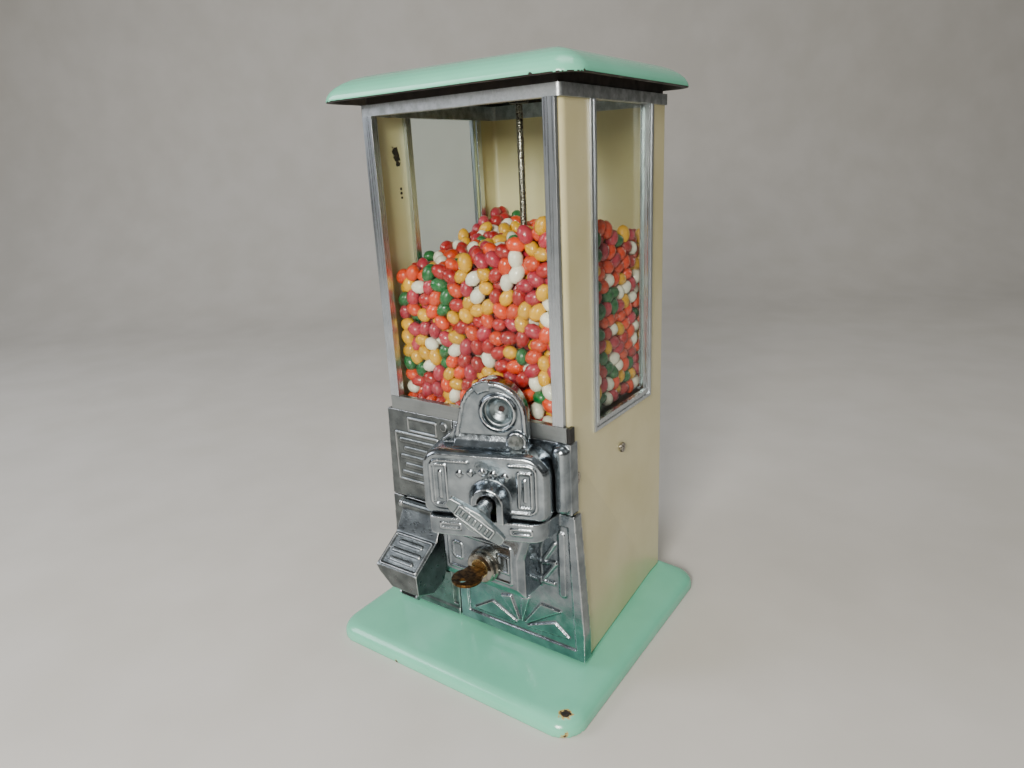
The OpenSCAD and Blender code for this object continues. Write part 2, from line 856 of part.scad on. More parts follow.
// Rounded upright swelling between the box and the edge of the frame
module frame_shoulder() {
    mid = [71.4, 150.4];
    layers = [[0, 0], [2.6, 0.6], [4.6, 2], [5.6, 3.8]];
    corner = [box_corners[1][0] + box_draft, box_corners[1][1]];
    r = box_corners[1][2] + box_round + gap;
    difference() {
        hull() for (l = layers)
            translate([mid[0], cast_y - l[0] + 0.2, mid[1]]) rotate([90, 0, 0])
                linear_extrude(0.2) rrect(12.4 - 2 * l[1], 48 - 2 * l[1], 5.8 - l[1], $fn = hull_fn);
        // room for the box's rounded corner
        mech() upright(-130, -60) polygon(concat(
            [[0, 100], [corner[0] + r, 100]],
            [for (a = [0:15:90]) corner + r * [cos(a), sin(a)]],
            [[0, corner[1] + r]]));
    }
}

module lever() {
    half = 20.8;
    end_r = 1.7;
    color("#9aa3a5") mech() translate([0, -134, shaft_z]) rotate([0, lever_tilt, 0]) difference() {
        union() {
            hull() {
                rod_y(6.6, -4.6, 0, $fn = hull_fn);
                for (x = [end_r - half, half - end_r], z = [-1.5, 1.5])
                    rod_y(end_r, -4, 0, x, z, $fn = hull_fn);
            }
            rod_y(7.2, 0, 5);
            translate([0, -4.2, 0]) rotate([90, 0, 0]) linear_extrude(1.2) {
                outline_of(27, 8, 1.5, 1);
                for (x = [-9:4.5:9]) translate([x, 0]) square([1.4, 4], center = true);
            }
        }
        rod_y(shaft_r, -2.5, 6);
    }
}

module drive_shaft() {
    color("silver") mech() rod_y(shaft_r, -136.4, -14, 0, shaft_z);
}

// Sector that carries the coin a quarter turn round the shaft
module coin_carrier() {
    r = carrier_r;
    half = 24;
    color("#b08d57") mech() difference() {
        union() {
            rod_y(9, -90, -80, 0, shaft_z);
            upright(-86, -82) intersection() {
                translate([0, shaft_z]) circle(r);
                polygon([[0, shaft_z], [-40 * tan(half), shaft_z + 40], [40 * tan(half), shaft_z + 40]]);
            }
        }
        rod_y(shaft_r, -100, -60, 0, shaft_z);
        translate([0, -88, shaft_z + r + 6.5]) rotate([-90, 0, 0]) cylinder(r = 9.6, h = 10);
    }
}

module pinion() {
    root = pinion_r - 1.8;
    tip = pinion_r + 1.2;
    color("#c2a25c") mech() difference() {
        union() {
            rod_y(root, -crown_r - 3, -crown_r + 2, 0, shaft_z);
            upright(-crown_r - 3, -crown_r + 2) translate([0, shaft_z])
                for (i = [0:pinion_teeth - 1]) rotate(360 / pinion_teeth * (i + 0.5))
                    polygon([[-1.2, root - 1], [1.2, root - 1], [0.75, tip], [-0.75, tip]]);
            rod_y(8, -crown_r + 1.9, -crown_r + 5.6, 0, shaft_z);
        }
        rod_y(shaft_r, -60, 0, 0, shaft_z);
    }
}

module shaft_nut() {
    color("dimgray") mech() difference() {
        hex_y(7.4, -18.2, -14.4, 0, shaft_z);
        rod_y(shaft_r, -30, 0, 0, shaft_z);
    }
}

module shaft_bush() {
    color("#b08d57") mech() difference() {
        union() {
            rod_y(7, -79.8, -68, 0, shaft_z);
            rod_y(9, -71.5, -68, 0, shaft_z);
        }
        rod_y(shaft_r + fit, -90, -60, 0, shaft_z);
    }
}

// Inner bearing of the shaft, hung from the hopper floor
module shaft_hanger() {
    color("gray") mech() difference() {
        union() {
            block([-9, -41, shaft_z], [9, -34, floor_z]);
            rod_y(9, -41, -34, 0, shaft_z);
        }
        rod_y(shaft_r + fit, -60, -20, 0, shaft_z);
    }
}

// Torsion spring that brings the handle back
module return_spring() {
    turns = 6;
    wire = 0.8;
    color("#70757a") mech() {
        for (i = [0:turns - 1])
            translate([0, -66.5 + i * wire * 1.85, shaft_z]) rotate([-90, 0, 0])
                rotate_extrude() translate([7.2, 0]) circle(wire, $fn = 16);
        rod_y(wire, -68, -66.5, 7.2, shaft_z);
    }
}

// ---------------------------------------------------------------- hopper

module hopper_floor() {
    well_r = wheel_r + 0.6;
    color("#a9adaf") difference() {
        union() {
            slab(body_w - 6, body_d - 6, 3, 170.9, 173.9);
            translate([0, 0, floor_z]) cylinder(r = well_r + well_t, h = 18, $fn = 96);
            both_sides() block([68, -9, 138], [body_w / 2 - wall - 0.3, 11, 172]);
        }
        translate([0, 0, floor_z + well_t]) cylinder(r = well_r, h = 30, $fn = 96);
        translate([0, 0, 150]) cylinder(r = hub_r + 3, h = 20);
        translate([drop_x, drop_y, 150]) cylinder(r = pocket_r, h = 20);
        both_sides() rod_x(2, 60, 80, lug_y, lug_z);
    }
}

module wheel_bush() {
    color("#b08d57") difference() {
        translate([0, 0, floor_z]) cylinder(r = hub_r + 3, h = well_t);
        translate([0, 0, 150]) cylinder(r = hub_r + fit, h = 20);
    }
}

module measuring_wheel() {
    top = wheel_z + wheel_t;
    color("#c9cccc") difference() {
        union() {
            translate([0, 0, wheel_z]) cylinder(r = wheel_r, h = wheel_t, $fn = 96);
            translate([0, 0, 154.4]) cylinder(r = hub_r, h = 5);
            translate([0, 0, top]) cylinder(r1 = 22, r2 = 9, h = 10);
            for (i = [0:2]) rotate(i * 120) block([0, -1.5, top - 1], [24, 1.5, top + 6]);
        }
        for (i = [0:pockets - 1]) rotate(drop_angle + i * 360 / pockets)
            translate([pocket_circle, 0, 150]) cylinder(r = pocket_r, h = 30);
        cylinder(r = 4.5, h = big);
    }
}

module crown_gear() {
    z1 = 154.4;
    tip_z = shaft_z + pinion_r - 1.4;
    color("#c2a25c") difference() {
        union() {
            translate([0, 0, tip_z + 3]) cylinder(r = crown_r + 3.2, h = z1 - tip_z - 3);
            for (i = [0:crown_teeth - 1]) rotate(mech_yaw - 90 + i * 360 / crown_teeth)
                block([crown_r - 1.5, -1.1, tip_z], [crown_r + 3, 1.1, tip_z + 3.2]);
        }
        cylinder(r = 4.5, h = big);
    }
}

// Plate and wiper over the pocket that is emptying
module cut_off_plate() {
    color("#9aa0a0") {
        block([-70, drop_y - 17, 173.9], [drop_x + 15, drop_y + 17, 175.4]);
        translate([drop_x, drop_y, 170.8]) cylinder(r = 14, h = 3.2);
    }
}

// Height of the heap of sweets above a point of the floor
function heap_top(x, y) = 292.5 + 0.073 * x + 0.045 * y - 0.0037 * x * y + 0.0013 * x * x;

// The sweets as one mass, with an uneven top
module candy_fill() {
    n = 5;
    z0 = 176;
    x1 = body_w / 2 - wall - 3.4;
    xs = [for (i = [0:n]) x1 * (2 * i / n - 1)];
    y0 = face_y + wall + 2.5;
    y1 = body_d / 2 - wall - 0.4;
    ys = [for (j = [0:n]) y0 + (y1 - y0) * j / n];
    top = [for (x = xs, y = ys) [x, y, heap_top(x, y)]];
    foot = [[-x1, y0, z0], [x1, y0, z0], [x1, y1, z0], [-x1, y1, z0]];
    f = len(top);
    row = n + 1;
    faces = [
        for (i = [0:n - 1], j = [0:n - 1]) [i * row + j, i * row + j + 1, (i + 1) * row + j + 1],
        for (i = [0:n - 1], j = [0:n - 1]) [i * row + j, (i + 1) * row + j + 1, (i + 1) * row + j],
        [f, f + 1, f + 2, f + 3],
        [f, for (i = [0:n]) i * row, f + 1],
        [f + 1, for (j = [0:n]) n * row + j, f + 2],
        [f + 2, for (i = [n:-1:0]) i * row + n, f + 3],
        [f + 3, for (j = [n:-1:0]) j, f],
    ];
    color("#d2452f") difference() {
        polyhedron(concat(top, foot), faces);
        translate([0, 0, 170]) cylinder(r = 25, h = 13);
        cylinder(r = rod_r + 0.8, h = big);
    }
}

// ---------------------------------------------------------------- coin door

door_top = seam_z - 0.2;
field_h = 1.2;               // how far the door's field lies behind its border
house_back = cast_y + field_h + 0.4;
door_lug_r = 2.6;

house_bend = 95.5;           // above this the housing's right edge leans outwards
house_bevel = 3.5;

// One band of the lock housing from z0 to z1, its right edge running from x0 to x1
module house_band(z0, z1, x0, x1, foot_drop, inset, y_in) {
    hull() {
        upright(house_y + y_in, house_y + y_in + 0.5)
            polygon([[-13 + inset, z0], [x0 - inset, z0], [x1 - inset, z1], [-13 + inset, z1]]);
        upright(house_y + house_bevel + y_in, house_back + inset)
            polygon([[-17 + inset, z0 - foot_drop], [x0 + 4 - inset, z0 - foot_drop],
                     [x1 + 4 - inset, z1], [-17 + inset, z1]]);
    }
}

module house_form(inset, y_in) {
    house_band(73 + inset, house_bend + 0.1, 48, 48, 6.5, inset, y_in);
    house_band(house_bend, 113.5, 48, 54.2, 0, inset, y_in);
}

// Ledge under the mechanism box, following its plan
module ledge_form(inset) {
    z0 = 112.5 + inset;
    mech() hull() for (p = [[-38, -106.5, 5], [-39, -64, 4], [26.5, -102.5, 9], [39.5, -88, 4]])
        translate([p[0], p[1], z0])
            cylinder(r = p[2] - inset, h = inset > 0 ? 30 : door_top - z0, $fn = hull_fn);
}

// Fan of flat rays from one point at the foot
module fan_rays() {
    apex = [33.6, 27.2];
    tips = [[[-9.3, 27], [8.7, 38.8]], [[16.5, 46.4], [25.5, 49]], [[34.5, 50.5], [41.5, 52.7]],
            [[51, 51], [67.2, 50]], [[62, 39.6], [73.9, 30.9]]];
    for (t = tips)
        polygon([apex + (t[0] - apex) * 0.15, apex + (t[1] - apex) * 0.15, t[1], t[0]]);
}

// One bar of the zig-zag, between two points
module bar_2d(a, b, w) {
    run = b - a;
    side = [-run[1], run[0]] / norm(run) * w / 2;
    polygon([a + side, b + side, b - side, a - side]);
}

// Field of the door, recessed inside a flat border
module door_field() {
    upright(cast_y - 1, cast_y + field_h)
        polygon([[-14, 23.3], [78.9, 23.3], [77.4, 46], [74.6, 117], [-14, 117]]);
}

module door_relief() {
    zig = [[64.2, 102.2], [53.2, 84.8], [64.4, 86.9], [52.2, 70], [63.1, 70.7]];
    upright(cast_y, cast_y + field_h + 0.3) {
        fan_rays();
        for (i = [0:len(zig) - 2]) bar_2d(zig[i], zig[i + 1], 2.2);
        translate([69.2, 87]) rrect(5, 49, 2.4);
    }
    translate([17.5, house_y + 0.4, 90]) rotate([90, 0, 0]) linear_extrude(1.2) {
        outline_of(54, 28, 2, 1.3);
        translate([-18.5, 0]) outline_of(9, 13, 3, 1.1);
        translate([20, 0]) outline_of(9, 13, 1, 1.1);
    }
    for (x = [-27, 21]) mech()
        translate([x, -111, 119.3]) rotate([90, 0, 0]) linear_extrude(1.2) outline_of(15, 4.4, 1, 0.9);
}

module coin_door() {
    color("#b4b8ba") difference() {
        union() {
            difference() {
                cast_part(door_x0, 90, door_z0, door_top, door_edge);
                door_field();
            }
            house_form(0, 0);
            difference() {
                ledge_form(0);
                block([-big, cast_y + 1, 0], [big, big, big]);
            }
            door_relief();
            for (x = [-19, 62]) {
                rod_x(door_lug_r, x, x + 10, door_axis[0], door_axis[1]);
                block([x, cast_y + cast_t - 0.1, door_axis[1] - door_lug_r],
                      [x + 10, door_axis[0], door_axis[1] + door_lug_r]);
            }
        }
        house_form(2.4, 2.6);
        ledge_form(2.2);
        block([-14.5, cast_y - 6, 69], [49.4, -50, 110]);
        block([-5, cast_y - 6, 100], [49.4, -50, 140]);
        rod_y(barrel_r, -110, -60, lock_x, lock_z);
        rod_y(12.2, -110, house_y, lock_x, lock_z);
        rod_x(pin_r + fit, -30, 76, door_axis[0], door_axis[1]);
    }
}

module hinge_ears() {
    color("gray") difference() {
        for (x = [-8.5, 58.5]) {
            block([x, door_axis[0], foot_z + 3], [x + 3, -60, door_axis[1] + door_lug_r]);
            rod_x(door_lug_r, x, x + 3, door_axis[0], door_axis[1]);
            block([x - 4, -65.9, foot_z + 3], [x + 7, -58, foot_z + 5]);
        }
        rod_x(pin_r, -30, 90, door_axis[0], door_axis[1]);
    }
}

module door_pins() {
    color("silver") for (x = [-19, 58.5]) rod_x(pin_r, x, x + 13.5, door_axis[0], door_axis[1]);
}

module lock_barrel() {
    color("#cfd2d4") difference() {
        union() {
            translate([lock_x, house_y, lock_z]) rotate([90, 0, 0]) rotate_extrude($fn = 64)
                polygon([[0, 0], [12, 0], [12, 2.2], [11, 3.4], [11, 5.8], [10, 7], [0, 7]]);
            rod_y(barrel_r, house_y - 1, -73.5, lock_x, lock_z);
        }
        rod_y(6.5 + fit, -120, -60, lock_x, lock_z);
    }
}

module lock_nut() {
    color("#9b8f6a") difference() {
        hex_y(11.1, house_y + 2.6, house_y + 6, lock_x, lock_z);
        rod_y(barrel_r, -120, -60, lock_x, lock_z);
    }
}

module lock_plug() {
    color("#cbbf95") difference() {
        union() {
            rod_y(6.5, house_y - 7.4, -72, lock_x, lock_z);
            rod_y(3, -72.5, -64.9, lock_x, lock_z);
        }
        block([lock_x - 4.3, -120, lock_z - 1.2], [lock_x + 4.3, -80, lock_z + 1.2]);
    }
}

// Tongue on the lock: upright when open, level behind the strike when locked
module lock_cam() {
    color("gray") difference() {
        upright(-67.6, -65.4) {
            translate([lock_x, lock_z]) circle(6.5);
            translate([lock_x - 4, lock_z]) square([8, 26]);
        }
        rod_y(3, -80, -60, lock_x, lock_z);
    }
}

module cam_screw() {
    color("dimgray") hex_y(5.5, -64.9, -62, lock_x, lock_z);
}

module key() {
    t = 2;
    color("#7a4a22") {
        translate([lock_x, -117.6, lock_z - t / 2]) linear_extrude(t) difference() {
            union() {
                circle(10.2);
                translate([0, 8]) square([15, 8], center = true);
            }
            translate([0, -4.6]) circle(2.2);
        }
        block([lock_x - 4, -110, lock_z - t / 2], [lock_x + 4, -84, lock_z + t / 2]);
    }
}

// Bracket on the side wall that the lock's tongue turns in behind
module lock_strike() {
    t = 1.8;
    y0 = -71.5;
    color("gray") {
        block([42, y0, 81], [60, y0 + t, 97]);
        block([59, y0, 88], [72, y0 + t, 97]);
        intersection() {
            union() {
                block([71, y0, 88], [90, y0 + t, 97]);
                difference() {
                    block([71, y0, 88], [90, -56, 97]);
                    translate([-t, 0, 0]) body_inside();
                }
            }
            body_inside();
        }
    }
}

// Slope inside the lock housing that turns coins back into the box
module coin_guide() {
    color("gray") {
        sideways(38, 56) polygon([[-71.9, 79.9], [-71.9, 78.1], [-56, 64.2], [-56, 66]]);
        sideways(38, 45) polygon([[-90.5, 97], [-90.5, 95.2], [-71.9, 78.1], [-71.9, 79.9]]);
        block([53.2, -72, 70], [56, -70.6, 80]);
    }
}

module coin_box() {
    color("#8c9092") difference() {
        block([-14, -56.5, foot_z], [47, 52, 62]);
        block([-12.8, -55.3, foot_z + 1.2], [45.8, 50.8, 70]);
    }
}

// ---------------------------------------------------------------- drawing

base_pan();
base_bolts();
body_shell();
side_screws();
top_collar();
lid();
lid_bracket();
lid_rod();
rod_nut();
rod_bridge();
rod_latch();
glass_front();
glass_left();
glass_right();
glass_channels();
window_trim_left();
window_trim_right();
front_trim_left();
front_trim_right();
front_sill();
corner_block();
left_plate();
chute_plate();
flange_screws();
chute_flap();
flap_pin();
chute_tube();
mech_frame();
mech_cover();
cover_screw();
coin_cup();
coin_channel();
lever();
drive_shaft();
coin_carrier();
pinion();
shaft_nut();
shaft_bush();
shaft_hanger();
return_spring();
hopper_floor();
wheel_bush();
measuring_wheel();
crown_gear();
cut_off_plate();
candy_fill();
coin_door();
hinge_ears();
door_pins();
lock_barrel();
lock_nut();
lock_plug();
lock_cam();
cam_screw();
key();
lock_strike();
coin_guide();
coin_box();
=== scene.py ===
# Dresses the counter-top sweet vendor: soft-edged castings and pressings,
# chipped stove enamel, worn trims and a hopper full of sugar-coated sweets.
import json
import math

import bmesh
import bpy
import numpy as np
from mathutils import Matrix, Vector
from mathutils.bvhtree import BVHTree


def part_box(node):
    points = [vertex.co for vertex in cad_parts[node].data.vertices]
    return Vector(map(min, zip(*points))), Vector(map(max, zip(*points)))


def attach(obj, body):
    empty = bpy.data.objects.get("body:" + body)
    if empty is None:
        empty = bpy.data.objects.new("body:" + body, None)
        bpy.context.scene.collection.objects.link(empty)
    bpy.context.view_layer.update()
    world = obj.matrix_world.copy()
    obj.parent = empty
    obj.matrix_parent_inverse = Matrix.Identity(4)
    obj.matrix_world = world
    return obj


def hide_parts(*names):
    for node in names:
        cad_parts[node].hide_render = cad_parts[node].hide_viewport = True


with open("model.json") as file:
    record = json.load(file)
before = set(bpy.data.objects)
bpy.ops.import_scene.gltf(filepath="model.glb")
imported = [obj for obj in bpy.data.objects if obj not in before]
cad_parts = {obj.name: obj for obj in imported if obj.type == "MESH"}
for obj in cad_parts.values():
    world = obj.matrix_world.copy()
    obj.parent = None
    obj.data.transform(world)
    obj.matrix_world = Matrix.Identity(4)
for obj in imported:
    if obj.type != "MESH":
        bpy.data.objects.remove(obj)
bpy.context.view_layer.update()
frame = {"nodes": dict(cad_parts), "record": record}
mm = 0.001
print("frame loaded:", len(frame["nodes"]), "nodes")


def newObject(name, data):
    made = bpy.data.objects.new(name, data)
    bpy.context.scene.collection.objects.link(made)
    return made


def linear(code):
    # sRGB hex to the linear values that shaders work in
    parts = [int(code[i:i + 2], 16) / 255 for i in (1, 3, 5)]
    return [p / 12.92 if p <= 0.04045 else ((p + 0.055) / 1.055) ** 2.4 for p in parts] + [1.0]


def addNode(tree, kind, inputs=None, give=None, **settings):
    # one node: inputs are plain values or other nodes' outputs; give picks the output returned
    made = tree.nodes.new(kind)
    for name, value in settings.items():
        setattr(made, name, value)
    for name, value in (inputs or {}).items():
        if isinstance(value, bpy.types.NodeSocket):
            tree.links.new(value, made.inputs[name])
        else:
            made.inputs[name].default_value = value
    return made if give is None else made.outputs[give]


# Camera, light and floor

cameraView = {
    "place": (284.97, -424.09, 342.77),  # mm
    "turn": (72.659, 2.758, 34.629),     # degrees
    "lens": 24.733,                      # mm, on a 36 mm sensor
}
studioLights = {
    # place, aim and size in m, power in watts, colour
    "front": ((0.34, -1.1, 0.62), (0, 0, 0.2), 0.35, 19, "#fff9f0"),
    "left": ((-1.2, -0.9, 1.0), (-0.3, -0.3, 0), 0.8, 14, "#f3f6ff"),
    "right": ((1.4, 0.1, 0.9), (0, 0, 0.2), 0.7, 0.8, "#fffaf2"),
    "top": ((0.1, 0.1, 1.7), (0, 0, 0.2), 0.8, 6, "#ffffff"),
}
room = {
    "glow": ("#2d2b29", "#dcdcd9"),  # along the floor and overhead
    "band": (0.02, 0.7),             # sines of the heights between which one turns into the other
    "strength": 0.38,
}
backdrop = {
    "across": 6.0, "front": -3.0, "back": 1.1, "bend": 0.5, "rise": 3.5,  # m
    "steps": 12,                                                          # in the bend
    "turn": 34.6,                                                         # degrees, square to the camera
}


def setCamera():
    data = bpy.data.cameras.new("camera")
    data.lens = cameraView["lens"]
    data.sensor_width = 36
    data.clip_start = 0.01
    camera = newObject("camera", data)
    camera.location = Vector(cameraView["place"]) * mm
    camera.rotation_euler = [math.radians(a) for a in cameraView["turn"]]
    bpy.context.scene.camera = camera


def setLights():
    for name, (place, aim, size, watts, colour) in studioLights.items():
        data = bpy.data.lights.new(name + "Light", "AREA")
        data.size = size
        data.energy = watts
        data.color = linear(colour)[:3]
        made = newObject(name + "Light", data)
        made.location = place
        sight = Vector(aim) - Vector(place)
        made.rotation_euler = sight.to_track_quat("-Z", "Y").to_euler()
    # the room is dark along the floor and pale overhead, so that bright metal has both to show
    world = bpy.data.worlds.new("room")
    world.use_nodes = True
    bpy.context.scene.world = world
    tree = world.node_tree
    tree.nodes.clear()
    ray = addNode(tree, "ShaderNodeTexCoord", give="Generated")
    height = addNode(tree, "ShaderNodeSeparateXYZ", {"Vector": ray}, "Z")
    ramp = addNode(tree, "ShaderNodeValToRGB", {"Fac": height})
    for stop, place, glow in zip(ramp.color_ramp.elements, room["band"], room["glow"]):
        stop.position = place
        stop.color = linear(glow)
    sky = addNode(tree, "ShaderNodeBackground", {
        "Color": ramp.outputs["Color"], "Strength": room["strength"]}, "Background")
    addNode(tree, "ShaderNodeOutputWorld", {"Surface": sky})


def makeFloor():
    # a table top that curves up into a backdrop behind the vendor
    back, bend, steps = (backdrop[k] for k in ("back", "bend", "steps"))
    profile = [(backdrop["front"], 0.0), (back, 0.0)]
    for step in range(1, steps + 1):
        a = math.radians(step * 90 / steps)
        profile.append((back + bend * math.sin(a), bend * (1 - math.cos(a))))
    profile.append((back + bend, backdrop["rise"]))
    turn = Matrix.Rotation(math.radians(backdrop["turn"]), 3, "Z")
    verts = [turn @ Vector((x, y, z)) for y, z in profile for x in (-backdrop["across"], backdrop["across"])]
    faces = [(2 * i, 2 * i + 1, 2 * i + 3, 2 * i + 2) for i in range(len(profile) - 1)]
    mesh = bpy.data.meshes.new("floor")
    mesh.from_pydata(verts, [], faces)
    mesh.shade_smooth()
    made = newObject("floor", mesh)
    return made


setCamera()
setLights()
floor = makeFloor()
print("camera, lights and floor set")


# Patterns. Their sizes are millimetres of real surface.

def mottle(tree, size, low, high, start=0.0, end=1.0, detail=3.0, rough=0.5, stretch=(1, 1, 1)):
    # blotches about size mm across; noise from low to high runs from start to end
    place = addNode(tree, "ShaderNodeTexCoord", give="Object")
    place = addNode(tree, "ShaderNodeMapping", {"Vector": place, "Scale": [1 / s for s in stretch]}, "Vector")
    noise = addNode(tree, "ShaderNodeTexNoise", {
        "Vector": place, "Scale": 1 / (size * mm), "Detail": detail, "Roughness": rough}, "Fac")
    return addNode(tree, "ShaderNodeMapRange", {
        "Value": noise, "From Min": low, "From Max": high, "To Min": start, "To Max": end}, "Result")


def brokenSpots(tree, places, grow=1.0, core=0.85):
    # 1 inside ragged spots, each given as x, y, z and radius in mm, fading out from core of that radius
    place = addNode(tree, "ShaderNodeTexCoord", give="Object")
    ragged = mottle(tree, 2.5, 0.3, 0.7, 0.6, 1.4, detail=4, rough=0.7)
    found = 0.0
    for x, y, z, radius in places:
        away = addNode(tree, "ShaderNodeVectorMath", {0: place, 1: (x * mm, y * mm, z * mm)}, "Value",
                       operation="DISTANCE")
        away = addNode(tree, "ShaderNodeMath", {0: away, 1: ragged}, "Value", operation="MULTIPLY")
        inside = addNode(tree, "ShaderNodeMapRange", {
            "Value": away, "From Min": radius * grow * core * mm, "From Max": radius * grow * mm,
            "To Min": 1.0, "To Max": 0.0}, "Result")
        found = addNode(tree, "ShaderNodeMath", {0: found, 1: inside}, "Value", operation="MAXIMUM")
    return found


def skin(tree, height, depth, edge):
    # the surface's normal: edges rounded by edge mm, and height as a relief of depth mm
    rounded = addNode(tree, "ShaderNodeBevel", {"Radius": edge * mm}, "Normal", samples=4)
    return addNode(tree, "ShaderNodeBump", {
        "Height": height, "Distance": depth * mm, "Strength": 1.0, "Normal": rounded}, "Normal")


def coats(tree, ground, *layers):
    # a ground colour with others laid over it in turn, each given as its share and its colour
    for share, colour in layers:
        under, over = (linear(c) if isinstance(c, str) else c for c in (ground, colour))
        ground = addNode(tree, "ShaderNodeMix", {0: share, 6: under, 7: over}, 2, data_type="RGBA")
    return ground


def newMaterial(name):
    made = bpy.data.materials.new(name)
    made.use_nodes = True
    made.node_tree.nodes.clear()
    return made, made.node_tree


def finish(tree, inputs):
    # what the material shows: one shader, wired to the output
    shader = addNode(tree, "ShaderNodeBsdfPrincipled", inputs, "BSDF")
    addNode(tree, "ShaderNodeOutputMaterial", {"Surface": shader})


# Materials

def stoveEnamel(name, colour, shade, chips, rusty, rough):
    # glossy enamel fired on steel: faint orange peel, chipped to black primer, some chips with a rusty rim
    made, tree = newMaterial(name)
    bare = brokenSpots(tree, chips + rusty)
    coat = coats(tree, colour,
                 (mottle(tree, 45, 0.35, 0.65), shade),
                 (mottle(tree, 1.4, 0.74, 0.79, 0, 0.5), "#6d5a3c"),
                 (brokenSpots(tree, rusty, 1.35), "#b8a05e"),
                 (bare, coats(tree, "#14130f", (mottle(tree, 1.6, 0.5, 0.7), "#4a3420"))))
    peel = mottle(tree, 2.5, 0.3, 0.7)
    height = addNode(tree, "ShaderNodeMath", {0: peel, 1: 0.06}, "Value", operation="MULTIPLY")
    height = addNode(tree, "ShaderNodeMath", {0: height, 1: bare}, "Value", operation="SUBTRACT")
    gloss = addNode(tree, "ShaderNodeMapRange", {"Value": bare, "To Min": rough, "To Max": 0.8}, "Result")
    finish(tree, {"Base Color": coat, "Roughness": gloss, "IOR": 1.5, "Coat Weight": 0.3,
                  "Coat Roughness": 0.08, "Normal": skin(tree, height, 0.25, 0.8)})
    return made


def castMetal(name, colour, dark, filmAndShade, rough, pits):
    # cast aluminium or zinc: high edges buffed bright; corners and grooves darkened toward a dark film,
    # partly dirt and partly painted shade
    made, tree = newMaterial(name)
    # painted shade with dirt: ambient occlusion and low pointiness darken corners and grooves toward the film
    # colour
    cornerShade = addNode(tree, "ShaderNodeAmbientOcclusion", {"Distance": 6 * mm}, "AO", samples=6)
    ragged = mottle(tree, 2.2, 0.3, 0.7, 0.82, 1.18, detail=4)
    cornerShade = addNode(tree, "ShaderNodeMath", {0: cornerShade, 1: ragged}, "Value", operation="MULTIPLY")
    dirtAndShade = addNode(tree, "ShaderNodeMapRange", {
        "Value": cornerShade, "From Min": 0.3, "From Max": 0.8, "To Min": 0.75, "To Max": 0.0}, "Result")
    crest = addNode(tree, "ShaderNodeNewGeometry", give="Pointiness")
    grooveShade = addNode(tree, "ShaderNodeMapRange", {
        "Value": crest, "From Min": 0.44, "From Max": 0.495, "To Min": 0.85, "To Max": 0.0}, "Result")
    dirtAndShade = addNode(tree, "ShaderNodeMath", {0: dirtAndShade, 1: grooveShade}, "Value", operation="MAXIMUM")
    worn = addNode(tree, "ShaderNodeMapRange", {
        "Value": crest, "From Min": 0.51, "From Max": 0.56, "To Min": 0.0, "To Max": 0.75}, "Result")
    metal = coats(tree, colour,
                  (mottle(tree, 11, 0.35, 0.68, detail=4), dark),
                  (dirtAndShade, filmAndShade),
                  (worn, "#f1f4f5"))
    dull = mottle(tree, 4, 0.3, 0.7, rough - 0.05, rough + 0.09)
    dull = addNode(tree, "ShaderNodeMath", {0: dirtAndShade, 1: 0.25, 2: dull}, "Value", operation="MULTIPLY_ADD")
    wave = mottle(tree, 9, 0.2, 0.8, detail=1.5)
    height = addNode(tree, "ShaderNodeMath", {
        0: mottle(tree, 1.3, 0.3, 0.7), 1: pits, 2: wave}, "Value", operation="MULTIPLY_ADD")
    finish(tree, {"Base Color": metal, "Metallic": 1.0, "Roughness": dull,
                  "Normal": skin(tree, height, 0.12, 0.4)})
    return made


def rolledMetal(name, colour, dark, rough, along):
    # rolled or drawn metal: lines along its length, drawn coarser than real ones to show, a few soft stains
    made, tree = newMaterial(name)
    lines = mottle(tree, 1.1, 0.3, 0.7, detail=2, stretch=[60 if axis == along else 1 for axis in "xyz"])
    streak = addNode(tree, "ShaderNodeMath", {0: lines, 1: 0.12}, "Value", operation="MULTIPLY")
    metal = coats(tree, colour, (mottle(tree, 16, 0.45, 0.75, 0, 0.6, detail=4), dark), (streak, dark))
    dull = addNode(tree, "ShaderNodeMapRange", {
        "Value": lines, "To Min": rough - 0.04, "To Max": rough + 0.08}, "Result")
    finish(tree, {"Base Color": metal, "Metallic": 1.0, "Roughness": dull,
                  "Normal": skin(tree, lines, 0.02, 0.3)})
    return made


def spottedMetal(name, colour, dark, size, low, high, rough, dullBy=0.15, depth=0.04):
    # plated, turned, zinced, handled or rusted metal: spots about size mm across, duller where dark
    made, tree = newMaterial(name)
    spots = mottle(tree, size, low, high, detail=4, rough=0.6)
    dull = addNode(tree, "ShaderNodeMapRange", {
        "Value": spots, "To Min": rough, "To Max": rough + dullBy}, "Result")
    finish(tree, {"Base Color": coats(tree, colour, (spots, dark)), "Metallic": 1.0, "Roughness": dull,
                  "Normal": skin(tree, spots, -depth, 0.3)})
    return made


def darkPaint(name, colour, shade, rough):
    # thin japan, bare primer or a film of oil: dark, uneven gloss
    made, tree = newMaterial(name)
    cloud = mottle(tree, 8, 0.35, 0.65, detail=4)
    dull = addNode(tree, "ShaderNodeMapRange", {
        "Value": cloud, "To Min": rough, "To Max": rough + 0.2}, "Result")
    finish(tree, {"Base Color": coats(tree, colour, (cloud, shade)), "Roughness": dull, "IOR": 1.5,
                  "Normal": skin(tree, cloud, 0.05, 0.4)})
    return made


